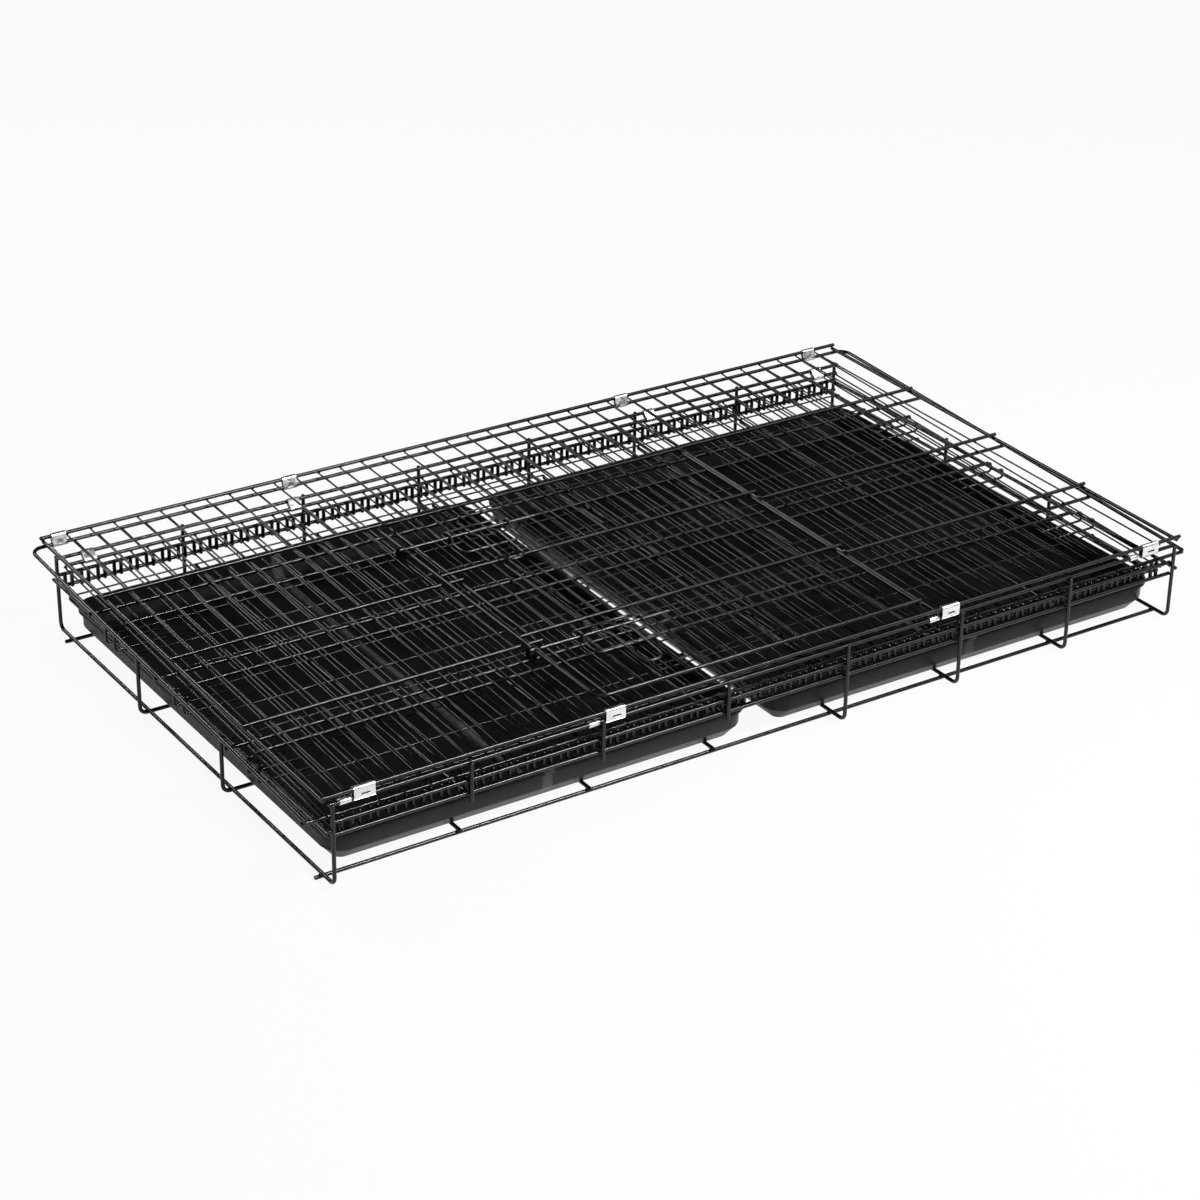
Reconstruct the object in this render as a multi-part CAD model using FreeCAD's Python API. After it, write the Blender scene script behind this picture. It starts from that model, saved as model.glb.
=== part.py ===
# Folding wire pet crate, folded flat. X runs along the length, Y from front to back, Z up.
# The origin is on the floor under the middle of the base.
import FreeCAD
import Part
import math
import os

V = FreeCAD.Vector
PARTS = {}

# wire gauges
base_wire_r = 2.4
bold_wire_r = 2.4
thin_wire_r = 1.4
bolt_wire_r = 2.0
weld_sink = 0.25
fit_gap = 0.05
bold_weld = base_wire_r + bold_wire_r - weld_sink
thin_weld = bold_wire_r + thin_wire_r - weld_sink

# base
base_length = 1200.0
base_width = 702.0
station_spaces = 7
front_posts = ("tall", "short", "short", "short", "tall", "tall", "tall", "tall")
rail_inset = 30.0
stub_overhang = 8.0
rail_overhang = 6.0
post_bend_r = 9.0
top_rail_z = 104.0
post_overhang = 2.0
short_post_length = 50.0
end_rail_drop = 30.0
end_post_overhang = 4.0
long_floor_share = 0.1525

rail_z = base_wire_r
cross_z = rail_z + bold_weld
post_y = base_width / 2
rail_y = post_y - rail_inset
top_rail_y = post_y - bold_weld
post_top_z = top_rail_z + post_overhang
end_x = base_length / 2
end_rail_x = end_x + bold_weld
end_rail_z = top_rail_z - end_rail_drop
end_post_x = end_rail_x + bold_weld
long_floor_y = base_width * long_floor_share
floor_top_z = cross_z + base_wire_r

# two trays side by side; the gap between them lies a little left of the middle
tray_gap = 29.0
tray_split_share = -0.0155
tray_end_gap = 5.0
tray_side_gap = 21.0
tray_height = 42.0
tray_wall = 3.0
tray_lip = 5.0
tray_lip_height = 6.0
tray_corner_r = 26.0
tray_chamfer = 16.0
tray_rib_width = 18.0
tray_rib_height = 5.0
seat_gap = 0.05
tray_split_x = base_length * tray_split_share

# front side panel, which lies on top and swings on the front rail
lid_end_overhang = 8.0
lid_depth_overhang = 14.0
lid_hinge_rise = 10.5
lid_tilt_deg = 0.8
lid_spaces = 38
long_wire_spaces = 4
wire_overhang = 4.0
lid_length = base_length + 2 * lid_end_overhang
lid_depth = base_width + lid_depth_overhang
lid_gap = lid_length / lid_spaces
lid_hinge_y = -top_rail_y
lid_hinge_z = top_rail_z + lid_hinge_rise

# side door in it
jamb_spaces = 12
door_spaces = 14
door_frame_share = 0.75
door_top_clear = 11.0
door_bottom_clear = 24.0
door_lift = 5.1
door_corner_r = 18.0
door_wire_shift = 12.0
door_hinge_clear = 9.0
sleeve_length = 12.0
sleeve_wall = 1.8
door_frame_overlap = lid_gap * door_frame_share

# slide bolts
bolt_low_share = 0.207
bolt_step_share = 0.416
bolt_rod_length = 180.0
bolt_lock_gap = 6.0
bolt_handle_wire_r = 1.8
bolt_handle_width = 28.0
bolt_handle_length = 92.0
bolt_handle_from_end = 84.0
bolt_handle_rise = 6.0
bolt_handle_ramp = 26.0
bolt_handle_tip_rise = 1.5
bolt_handle_bend_r = 12.0
guard_wire_r = 1.6
guard_first_spaces = 1
guard_spaces = 3
guard_offset_share = 0.125
guard_width_share = 0.875
guard_depth = 60.0
guard_rise = 24.0
guard_bend_r = 8.0
guard_arch_half = 4.2
guard_arch_foot = 8.5
guard_arch_bend_r = 2.4
guard_arch_gap = 0.15
keeper_share = 0.3125
keeper_bore_gap = 0.7
bolt_low = lid_depth * bolt_low_share
bolt_step = lid_depth * bolt_step_share
keeper_length = lid_gap * keeper_share

# top panel, hinged to the far edge of the front side panel
roof_end_overhang = 19.0
roof_front_inset = 15.0
roof_drop = 9.8
roof_back_inset = 4.0
roof_front_drop = 16.0
roof_corner_r = 16.0
roof_wire_shift = 8.0
roof_end_clear = 12.0
roof_length = lid_length + 2 * roof_end_overhang
roof_front_y = roof_front_inset - post_y
roof_front_z = top_rail_z - roof_front_drop

# rear side panel, hinged on the rear rail
rear_end_inset = 6.0
rear_hinge_inset = 13.0
rear_hinge_drop = 7.5
rear_front_inset = 15.0
rear_front_drop = 14.0
rear_spaces = 54
rear_length = base_length - 2 * rear_end_inset
rear_hinge_y = post_y - rear_hinge_inset
rear_hinge_z = top_rail_z - rear_hinge_drop
rear_front_y = rear_front_inset - post_y
rear_front_z = roof_front_z - rear_front_drop
rear_gap = rear_length / rear_spaces

# end panels, one over the other on the trays
end_side_inset = 21.0
end_height_clear = 26.0
end_edge_inset = 6.0
end_seat_gap = 0.4
end_spaces = 11
end_bar_spaces = 4
end_width = base_width - 2 * end_side_inset
end_height = lid_depth - end_height_clear
end_edge_x = end_x - end_edge_inset

# hinge clips, each in the middle of the wire space at its share of the panel's length
clip_sheet = 1.2
clip_side_gap = 1.0
front_clip_shares = (0.04, 0.3, 0.7, 0.96)
front_clip_side_gap = 3.0
top_clip_shares = (0.01, 0.28, 0.7, 0.96)
rear_clip_shares = (0.03, 0.27, 0.73, 0.97)
rear_clip_side_gap = 3.0

# hooks that hang the end panels on the end rails
hook_wire_r = 1.6
hook_pair_shares = (-0.26, 0.0, 0.26)
hook_pair_step = 24.0
hook_tail = 54.0
hook_bend_r = 4.0
hook_tip = 8.0


def wire(a, b, r):
    way = b - a
    return Part.makeCylinder(r, way.Length, a, way)


def along_x(x0, x1, y, z, r):
    return wire(V(x0, y, z), V(x1, y, z), r)


def along_y(y0, y1, x, z, r):
    return wire(V(x, y0, z), V(x, y1, z), r)


def along_z(z0, z1, x, y, r):
    return wire(V(x, y, z0), V(x, y, z1), r)


def bent(points, r, *bends):
    """A wire through the points, with an arc at each inner one; the last radius holds for the rest."""
    edges = []
    start = points[0]
    for i, (before, corner, after) in enumerate(zip(points, points[1:], points[2:])):
        bend = bends[min(i, len(bends) - 1)]
        into = (before - corner).normalize()
        out = (after - corner).normalize()
        half = into.getAngle(out) / 2
        reach = bend / math.tan(half)
        a, b = corner + into * reach, corner + out * reach
        middle = (into + out).normalize()
        top = corner + middle * (bend / math.sin(half) - bend)
        if (a - start).Length > fit_gap:
            edges.append(Part.makeLine(start, a))
        edges.append(Part.Arc(a, top, b).toShape())
        start = b
    if (points[-1] - start).Length > fit_gap:
        edges.append(Part.makeLine(start, points[-1]))
    path = Part.Wire(edges)
    ring = Part.Wire([Part.makeCircle(r, points[0], points[1] - points[0])])
    return path.makePipeShell([ring], True, False)


def grid(first, last, spaces):
    return [first + (last - first) * i / spaces for i in range(spaces + 1)]


def node(name, solids):
    PARTS[name] = Part.makeCompound(list(solids))


def tilted(solids, y, z, degrees):
    for solid in solids:
        solid.rotate(V(0, y, z), V(1, 0, 0), degrees)
    return solids


def strap(x, width, a, b, bore_r):
    """A flat loop of sheet round the two wires at (y, z) places a and b."""
    def slug(r):
        way = V(0, b[0] - a[0], b[1] - a[1])
        side = V(0, -way.z, way.y).normalize() * r
        p, q = V(x - width / 2, *a), V(x - width / 2, *b)
        tip = V(way).normalize() * r
        outline = [Part.makeLine(p + side, q + side), Part.Arc(q + side, q + tip, q - side).toShape(),
                   Part.makeLine(q - side, p - side), Part.Arc(p - side, p - tip, p + side).toShape()]
        return Part.Face(Part.Wire(outline)).extrude(V(width, 0, 0))
    return slug(bore_r + clip_sheet).cut(slug(bore_r))


def make_base():
    stations = grid(-end_x, end_x, station_spaces)
    short_x = [x for x, kind in zip(stations, front_posts) if kind == "short"]
    reach = end_x + base_wire_r + rail_overhang
    node("bottom_rails", [along_x(-reach, reach, side * rail_y, rail_z, base_wire_r) for side in (-1, 1)])
    straight = end_post_x - post_bend_r
    node("floor_long_wires", [along_x(-straight, straight, side * long_floor_y, rail_z, base_wire_r)
                              for side in (-1, 1)])
    end_post_top = end_rail_z + end_post_overhang

    def end_post(end, y):
        far = end * end_post_x
        return bent([V(end * straight, y, rail_z), V(far, y, rail_z), V(far, y, end_post_top)], base_wire_r,
                    post_bend_r)
    node("end_posts", [end_post(end, y) for end in (-1, 1) for y in (-long_floor_y, long_floor_y)])
    foot_y = post_y - post_bend_r

    def post(x, side):
        far = side * post_y
        return bent([V(x, side * foot_y, cross_z), V(x, far, cross_z), V(x, far, post_top_z)], base_wire_r,
                    post_bend_r)
    node("floor_cross_wires", [
        along_y(-rail_y - stub_overhang if x in short_x else -foot_y, foot_y, x, cross_z, base_wire_r)
        for x in stations])
    node("front_posts", [post(x, -1) for x in stations if x not in short_x])
    node("rear_posts", [post(x, 1) for x in stations])
    rail_reach = end_x + base_wire_r
    node("top_rails", [along_x(-rail_reach, rail_reach, side * top_rail_y, top_rail_z, base_wire_r)
                       for side in (-1, 1)])
    node("end_rails", [along_y(-post_y - base_wire_r, post_y + base_wire_r, side * end_rail_x, end_rail_z,
                               base_wire_r) for side in (-1, 1)])
    node("short_front_posts", [along_z(post_top_z - short_post_length, post_top_z, x, -post_y, base_wire_r)
                               for x in short_x])


def tray_block(x0, x1, y0, y1, z0, z1, corner_r, chamfer):
    block = Part.makeBox(x1 - x0, y1 - y0, z1 - z0, V(x0, y0, z0))
    upright = [e for e in block.Edges if e.BoundBox.ZLength > (z1 - z0) / 2]
    block = block.makeFillet(corner_r, upright)
    if chamfer:
        block = block.makeChamfer(chamfer, [e for e in block.Edges if e.BoundBox.ZMax < z0 + fit_gap])
    return block


def tray(x0, x1):
    z0 = floor_top_z + seat_gap
    z1 = z0 + tray_height
    y1 = post_y - tray_side_gap
    lip, wall = tray_lip, tray_wall
    body = tray_block(x0 + lip, x1 - lip, lip - y1, y1 - lip, z0, z1, tray_corner_r, tray_chamfer)
    rim = tray_block(x0, x1, -y1, y1, z1 - tray_lip_height, z1, tray_corner_r + lip, 0)
    inner = lip + wall
    hollow = tray_block(x0 + inner, x1 - inner, inner - y1, y1 - inner, z0 + wall, z1 + wall,
                        tray_corner_r - wall, tray_chamfer)
    middle = (x0 + x1) / 2
    rib_reach = y1 - inner - tray_chamfer
    rib = Part.makeBox(tray_rib_width, 2 * rib_reach, tray_rib_height + wall / 2,
                       V(middle - tray_rib_width / 2, -rib_reach, z0 + wall / 2))
    return body.fuse(rim).cut(hollow).fuse(rib).removeSplitter()


def make_trays():
    outer = end_x - tray_end_gap
    node("right_tray", [tray(tray_split_x + tray_gap / 2, outer)])
    node("left_tray", [tray(-outer, tray_split_x - tray_gap / 2)])


def lid_frame():
    xs = grid(-lid_length / 2, lid_length / 2, lid_spaces)
    ys = grid(lid_hinge_y, lid_hinge_y + lid_depth, long_wire_spaces)
    return xs, ys, xs[jamb_spaces:jamb_spaces + door_spaces + 1]


def on_lid(name, solids):
    node(name, tilted(solids, lid_hinge_y, lid_hinge_z, lid_tilt_deg))


def make_front_panel():
    xs, ys, over_door = lid_frame()
    z, reach = lid_hinge_z, lid_length / 2 + wire_overhang
    under_bold, under_thin = z - bold_weld, z - thin_weld
    left, right = over_door[0], over_door[-1]
    front, back, lintel = ys[0], ys[-1], ys[-2]
    on_lid("front_panel_edge_wires", [along_x(-reach, reach, y, z, bold_wire_r) for y in (front, back)])
    rows = [along_x(-reach, reach, lintel, z, bold_wire_r)]
    for y in ys[1:-2]:
        rows += [along_x(-reach, left + bold_wire_r, y, z, bold_wire_r),
                 along_x(right - bold_wire_r, reach, y, z, bold_wire_r)]
    on_lid("front_panel_long_wires", rows)
    on_lid("front_panel_end_wires", [along_y(front, back, x, under_bold, bold_wire_r)
                                     for x in (xs[0], xs[-1])])
    on_lid("door_jambs", [along_y(front, lintel + wire_overhang, x, under_bold, bold_wire_r)
                          for x in (left, right)])
    groups = {"left": [x for x in xs[1:] if x < left], "right": [x for x in xs[:-1] if x > right]}
    for name, group in groups.items():
        on_lid("front_panel_cross_wires_" + name, [along_y(front, back, x, under_thin, thin_wire_r)
                                                   for x in group])
    jamb_end = lintel + bold_wire_r + 2 * wire_overhang
    on_lid("front_panel_cross_wires_over_door", [
        along_y(jamb_end if x in (left, right) else lintel, back, x, under_thin, thin_wire_r)
        for x in over_door])


def make_side_door():
    xs, ys, over_door = lid_frame()
    z = lid_hinge_z + door_lift
    right = over_door[-1]
    inner = right - door_hinge_clear
    outer = over_door[0] - door_frame_overlap
    low, high = ys[0] + door_bottom_clear, ys[-2] - door_top_clear
    on_lid("side_door_frame", [
        bent([V(inner, high, z), V(outer, high, z), V(outer, low, z), V(inner, low, z)],
             bold_wire_r, door_corner_r),
        along_y(low - wire_overhang, high + wire_overhang, inner - bold_wire_r, z - bold_weld, bold_wire_r)])
    hinge_z, bore_r = lid_hinge_z - bold_weld, bold_wire_r + fit_gap
    rows = []
    for y in [y + door_wire_shift for y in ys[1:-2]]:
        sleeve_start = V(right, y - sleeve_length / 2, hinge_z)
        bore = Part.makeCylinder(bore_r, sleeve_length, sleeve_start, V(0, 1, 0))
        sleeve = Part.makeCylinder(bore_r + sleeve_wall, sleeve_length, sleeve_start, V(0, 1, 0))
        web = along_z(hinge_z, z, right, y, bold_wire_r)
        bar = along_x(outer + bold_wire_r - weld_sink, right + bold_wire_r, y, z, bold_wire_r)
        rows.append(bar.fuse([web, sleeve]).cut(bore))
    on_lid("side_door_long_wires", rows)
    on_lid("side_door_cross_wires", [along_y(low, high, x, z - thin_weld, thin_wire_r)
                                     for x in over_door[1:-1]])


def make_bolts():
    xs, ys, over_door = lid_frame()
    keeper_x = over_door[0] - lid_gap
    rod_x = keeper_x + keeper_length / 2 + bolt_lock_gap
    rod_z = lid_hinge_z + door_lift + bold_wire_r + bolt_wire_r + weld_sink
    handle_x = rod_x + bolt_handle_from_end
    door_thin_z = lid_hinge_z + door_lift - thin_weld
    guard_x = over_door[guard_first_spaces] + lid_gap * guard_offset_share
    guard_end_x = guard_x + guard_spaces * lid_gap * guard_width_share
    guard_z = door_thin_z + thin_wire_r + guard_wire_r - weld_sink
    arch_z = rod_z + bolt_wire_r + guard_wire_r + guard_arch_gap
    keeper_bore_r = bolt_wire_r + fit_gap + keeper_bore_gap
    keepers, guards = [], []
    for name, y in (("lower_bolt", ys[0] + bolt_low), ("upper_bolt", ys[0] + bolt_low + bolt_step)):
        rod = along_x(rod_x, rod_x + bolt_rod_length, y, rod_z, bolt_wire_r)
        on_lid(name, [rod.fuse(handle(handle_x, y, rod_z))])
        guards.append(guard(guard_x, guard_end_x, y, guard_z, arch_z))
        keepers.append(lug(keeper_x, y, rod_z, lid_hinge_z - thin_weld, keeper_bore_r))
    on_lid("bolt_guards", guards)
    on_lid("bolt_keepers", keepers)


def handle(x, y, z):
    """A hairpin loop that rises from the rod and falls towards its tip."""
    tip, far = y - bolt_handle_length, x + bolt_handle_width
    top_y, top_z, tip_z = y - bolt_handle_ramp, z + bolt_handle_rise, z + bolt_handle_tip_rise
    return bent([V(x, y, z), V(x, top_y, top_z), V(x, tip, tip_z), V(far, tip, tip_z), V(far, top_y, top_z),
                 V(far, y, z)], bolt_handle_wire_r, bolt_handle_bend_r)


def guard(x0, x1, y, z, arch_z):
    """A flat wire loop with round corners, whose two short sides arch over the rod at y."""
    near, far, middle = y + guard_rise - guard_depth, y + guard_rise, (x0 + x1) / 2
    foot, half = guard_arch_foot, guard_arch_half

    def arch(x, way):
        return [V(x, y + way * at, height)
                for at, height in ((foot, z), (half, arch_z), (-half, arch_z), (-foot, z))]
    corner, tight = guard_bend_r, [guard_arch_bend_r] * len(arch(x0, 1))
    return bent([V(middle + fit_gap, far, z), V(x1, far, z), *arch(x1, 1), V(x1, near, z), V(x0, near, z),
                 *arch(x0, -1), V(x0, far, z), V(middle - fit_gap, far, z)],
                guard_wire_r, corner, *tight, corner, corner, *tight, corner)


def lug(x, y, rod_z, wire_z, bore_r):
    """A sleeve for a bolt's rod on a foot that is welded to the cross wire under it."""
    start = V(x - keeper_length / 2, y, rod_z)
    outer = Part.makeCylinder(bore_r + sleeve_wall, keeper_length, start, V(1, 0, 0))
    bore = Part.makeCylinder(bore_r, keeper_length, start, V(1, 0, 0))
    foot = along_z(wire_z + thin_wire_r - fit_gap, rod_z, x, y, thin_wire_r)
    return outer.fuse(foot).cut(bore)


def roof_place():
    lid_back_y = lid_hinge_y + lid_depth
    back_z = lid_hinge_z + lid_depth * math.sin(math.radians(lid_tilt_deg)) - roof_drop
    back_y = lid_back_y - roof_back_inset
    return back_y, back_z


def make_top_panel():
    back_y, back_z = roof_place()
    depth = back_y - roof_front_y
    tilt = math.degrees(math.asin((back_z - roof_front_z) / depth))
    half = roof_length / 2
    front = back_y - depth
    place = (back_y, back_z, tilt)
    straight = half - roof_corner_r
    node("top_panel_side_wires", tilted([
        bent([V(side * half, front - wire_overhang, back_z), V(side * half, back_y, back_z),
              V(side * straight, back_y, back_z)], bold_wire_r, roof_corner_r) for side in (-1, 1)], *place))
    node("top_panel_hinge_wire", tilted([along_x(-straight, straight, back_y, back_z, bold_wire_r)], *place))
    rows = grid(front, back_y, long_wire_spaces)
    node("top_panel_long_wires", tilted([
        along_x(-half - wire_overhang, half + wire_overhang, y, back_z - bold_weld, bold_wire_r)
        for y in rows[:-1]], *place))
    xs = lid_frame()[0]
    node("top_panel_cross_wires", tilted([
        along_y(front, back_y - bold_wire_r + weld_sink, x + roof_wire_shift, back_z - bold_weld + thin_weld,
                thin_wire_r) for x in xs if abs(x + roof_wire_shift) < half - roof_end_clear], *place))


def make_rear_panel():
    depth = rear_hinge_y - rear_front_y
    tilt = math.degrees(math.asin((rear_hinge_z - rear_front_z) / depth))
    half = rear_length / 2
    place = (rear_hinge_y, rear_hinge_z, tilt)
    node("rear_panel_long_wires", tilted([
        along_x(-half, half, y, rear_hinge_z, bold_wire_r)
        for y in grid(rear_front_y, rear_hinge_y, long_wire_spaces)], *place))
    node("rear_panel_cross_wires", tilted([
        along_y(rear_front_y, rear_hinge_y, x, rear_hinge_z - thin_weld, thin_wire_r)
        for x in grid(-half, half, rear_spaces)], *place))


def end_levels():
    tray_top = floor_top_z + seat_gap + tray_height
    left_bar = tray_top + end_seat_gap + bold_wire_r
    right_bar = left_bar + thin_weld + thin_wire_r + end_seat_gap + bold_wire_r
    return {"left": left_bar, "right": right_bar}


def make_end_panels():
    half = end_width / 2
    for side, (name, bar_z) in zip((-1, 1), end_levels().items()):
        xs = grid(side * end_edge_x, side * (end_edge_x - end_height), end_bar_spaces)
        node(name + "_end_panel_bars", [along_y(-half, half, x, bar_z, bold_wire_r) for x in xs])
        lo, hi = sorted((xs[0], xs[-1]))
        node(name + "_end_panel_wires", [along_x(lo, hi, y, bar_z + thin_weld, thin_wire_r)
                                         for y in grid(-half, half, end_spaces)])


def make_hooks():
    hook_x = end_rail_x + base_wire_r + hook_wire_r + fit_gap
    top_z = end_rail_z + base_wire_r + hook_wire_r + fit_gap
    for side, (name, bar_z) in zip((-1, 1), end_levels().items()):
        low_z = bar_z + bold_wire_r + hook_wire_r - weld_sink
        hooks = []
        for pair_y in [base_width * share for share in hook_pair_shares]:
            for y in (pair_y - hook_pair_step / 2, pair_y + hook_pair_step / 2):
                hooks.append(bent([V(side * (end_edge_x - hook_tail), y, low_z), V(side * hook_x, y, low_z),
                                   V(side * hook_x, y, top_z), V(side * (hook_x - hook_tip), y, top_z)],
                                  hook_wire_r, hook_bend_r))
        node(name + "_end_hooks", hooks)


def space_middles(length, spaces, shares):
    return [(int(share * spaces) + 1 / 2) * length / spaces - length / 2 for share in shares]


def make_clips():
    bore = bold_wire_r + fit_gap
    lid_edge = (lid_hinge_y, lid_hinge_z)
    front_width = lid_gap - 2 * front_clip_side_gap
    node("front_hinge_clips", [strap(x, front_width, (-top_rail_y, top_rail_z), lid_edge, bore)
                               for x in space_middles(lid_length, lid_spaces, front_clip_shares)])
    far_y = lid_hinge_y + lid_depth * math.cos(math.radians(lid_tilt_deg))
    far_z = lid_hinge_z + lid_depth * math.sin(math.radians(lid_tilt_deg))
    top_width = lid_gap - roof_wire_shift - 2 * (thin_wire_r + clip_side_gap)
    node("top_hinge_clips", [strap(x + roof_wire_shift / 2, top_width, roof_place(), (far_y, far_z), bore)
                             for x in space_middles(lid_length, lid_spaces, top_clip_shares)])
    rear_width, rear_edge = rear_gap - 2 * rear_clip_side_gap, (rear_hinge_y, rear_hinge_z)
    node("rear_hinge_clips", [strap(x, rear_width, rear_edge, (top_rail_y, top_rail_z), bore)
                              for x in space_middles(rear_length, rear_spaces, rear_clip_shares)])


make_base()
make_trays()
make_front_panel()
make_side_door()
make_bolts()
make_top_panel()
make_rear_panel()
make_end_panels()
make_hooks()
make_clips()

os.makedirs("parts", exist_ok=True)
for name, shape in PARTS.items():
    shape.exportStep("parts/" + name + ".step")
    print(name, len(shape.Solids), "solids", "valid" if shape.isValid() else "INVALID")
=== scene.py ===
import math

import bmesh
import bpy
from mathutils import Matrix, Vector


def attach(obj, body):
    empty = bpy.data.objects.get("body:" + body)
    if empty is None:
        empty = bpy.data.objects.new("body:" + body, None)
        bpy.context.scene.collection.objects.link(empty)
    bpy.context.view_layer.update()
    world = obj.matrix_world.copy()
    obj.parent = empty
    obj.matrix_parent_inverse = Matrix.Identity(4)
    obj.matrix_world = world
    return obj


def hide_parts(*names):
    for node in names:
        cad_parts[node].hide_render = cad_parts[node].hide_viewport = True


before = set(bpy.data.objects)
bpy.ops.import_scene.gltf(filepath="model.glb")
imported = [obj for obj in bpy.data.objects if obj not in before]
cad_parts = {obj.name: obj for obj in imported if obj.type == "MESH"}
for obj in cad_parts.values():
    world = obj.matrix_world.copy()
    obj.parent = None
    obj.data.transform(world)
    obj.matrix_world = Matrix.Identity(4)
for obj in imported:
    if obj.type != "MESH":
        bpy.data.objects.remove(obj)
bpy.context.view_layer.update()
scene = bpy.context.scene
mm = 0.001


# shader helpers

def addNode(tree, kind, inputs=None, **settings):
    node = tree.nodes.new(kind)
    for key, value in settings.items():
        setattr(node, key, value)
    for key, value in (inputs or {}).items():
        if isinstance(value, bpy.types.NodeSocket):
            tree.links.new(value, node.inputs[key])
        else:
            node.inputs[key].default_value = value
    return node


def newFinish(name):
    mat = bpy.data.materials.new(name)
    mat.use_nodes = True
    tree = mat.node_tree
    shader = tree.nodes["Principled BSDF"]
    coords = addNode(tree, "ShaderNodeTexCoord").outputs["Object"]
    return mat, tree, shader, coords


def noise(tree, coords, size, detail=3.0, roughness=0.55, stretch=None):
    if stretch:
        coords = addNode(tree, "ShaderNodeMapping",
                         {"Vector": coords, "Scale": stretch}).outputs[0]
    return addNode(tree, "ShaderNodeTexNoise", {
        "Vector": coords, "Scale": 1 / (size * mm), "Detail": detail,
        "Roughness": roughness}).outputs["Fac"]


def ramp(tree, value, span, to=(0.0, 1.0)):
    return addNode(tree, "ShaderNodeMapRange", {
        "Value": value, "From Min": span[0], "From Max": span[1],
        "To Min": to[0], "To Max": to[1]}).outputs[0]


def metres(values):
    return [value * mm for value in values]


def calc(tree, operation, *values):
    return addNode(tree, "ShaderNodeMath", dict(enumerate(values)), operation=operation).outputs[0]


def times(tree, first, *others):
    for other in others:
        first = calc(tree, "MULTIPLY", first, other)
    return first


def tint(tree, share, a, b):
    node = addNode(tree, "ShaderNodeMix", {"Factor": share}, data_type="RGBA")
    for key, colour in ((6, a), (7, b)):        # the two colour sockets
        if isinstance(colour, bpy.types.NodeSocket):
            tree.links.new(colour, node.inputs[key])
        else:
            node.inputs[key].default_value = (*colour, 1)
    return node.outputs[2]


def bump(tree, shader, height, depth):
    node = addNode(tree, "ShaderNodeBump",
                   {"Height": height, "Distance": depth * mm, "Strength": 1.0})
    tree.links.new(node.outputs[0], shader.inputs["Normal"])


def facing(tree):       # 1 where the surface looks up, -1 where it looks down
    normal = addNode(tree, "ShaderNodeTexCoord").outputs["Normal"]
    return addNode(tree, "ShaderNodeSeparateXYZ", {0: normal}).outputs["Z"]


coatLook = dict(
    black=(0.0012, 0.0012, 0.0013), worn=(0.003, 0.003, 0.0033), dust=(0.018, 0.0175, 0.0165),
    specular=0.5, gloss=(0.15, 0.23), glossFrom=(0.3, 0.7), peel=0.9, peelDepth=0.015,
    blotch=38.0, wornFrom=(0.42, 0.75), upward=(0.35, 1.0), dustPatch=9.0, dustFrom=(0.46, 0.78),
    dustOver=(0.2, 0.8), dustShare=(0.05, 0.4), dustRough=(0.03, 0.12))
# the bolts' finish is a lighter copy of the black powder coat: painted light, its raised base
# colour (with a stronger specular) makes the bolts read as more brightly lit than the other wires
boltLitCopyLook = dict(coatLook, black=(0.006, 0.006, 0.0063), worn=(0.012, 0.012, 0.0125),
                specular=1.0, gloss=(0.19, 0.27))


def makePowderCoat(look, name):
    mat, tree, shader, coords = newFinish(name)
    blotch = noise(tree, coords, look["blotch"], detail=4)
    peel = noise(tree, coords, look["peel"], detail=2)
    patches = noise(tree, coords, look["dustPatch"], detail=5)
    settled = times(tree, ramp(tree, facing(tree), look["upward"]),
                    ramp(tree, patches, look["dustFrom"]))
    body = tint(tree, ramp(tree, blotch, look["wornFrom"]), look["black"], look["worn"])
    dusty = times(tree, settled, ramp(tree, blotch, look["dustOver"], look["dustShare"]))
    tree.links.new(tint(tree, dusty, body, look["dust"]), shader.inputs["Base Color"])
    dull = times(tree, settled, ramp(tree, peel, look["dustOver"], look["dustRough"]))
    rough = calc(tree, "ADD", ramp(tree, blotch, look["glossFrom"], look["gloss"]), dull)
    tree.links.new(rough, shader.inputs["Roughness"])
    shader.inputs["Specular IOR Level"].default_value = look["specular"]
    bump(tree, shader, peel, look["peelDepth"])
    return mat


trayLook = dict(
    plastic=(0.0078, 0.0078, 0.0083), faded=(0.0115, 0.0115, 0.012), fadedFrom=(0.35, 0.7),
    specular=(0.03, 0.32), matt=0.2, rough=(0.2, 0.34), roughFrom=(0.3, 0.75),
    outward=(0.3, -0.1), cloud=120.0, streak=9.0, streakStretch=(0.16, 1, 1.6),
    scuff=(0.16, 0.16, 0.155), scuffFrom=(0.42, 0.72), scuffOver=(0.3, 0.7),
    scuffShare=(0.35, 1.0), band=(27.0, 9.4),
    speck=(0.62, 0.62, 0.60), speckCells=210.0, speckEdge=(0.15, 0.09), speckPatch=28.0,
    speckFrom=(0.52, 0.66),
    # crest colours: a painted highlight, a lighter grey on the rib's crest in place of the lamp's
    # highlight on it
    paintedCrestHighlight=(0.085, 0.085, 0.083), paintedHighlightHalf=(8.0, 5.0), paintedHighlightHeight=(14.6, 16.4),
    paintedHighlightFrom=(0.3, 0.6), paintedHighlightLeast=0.45, grain=1.1, grainDepth=0.09)


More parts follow.
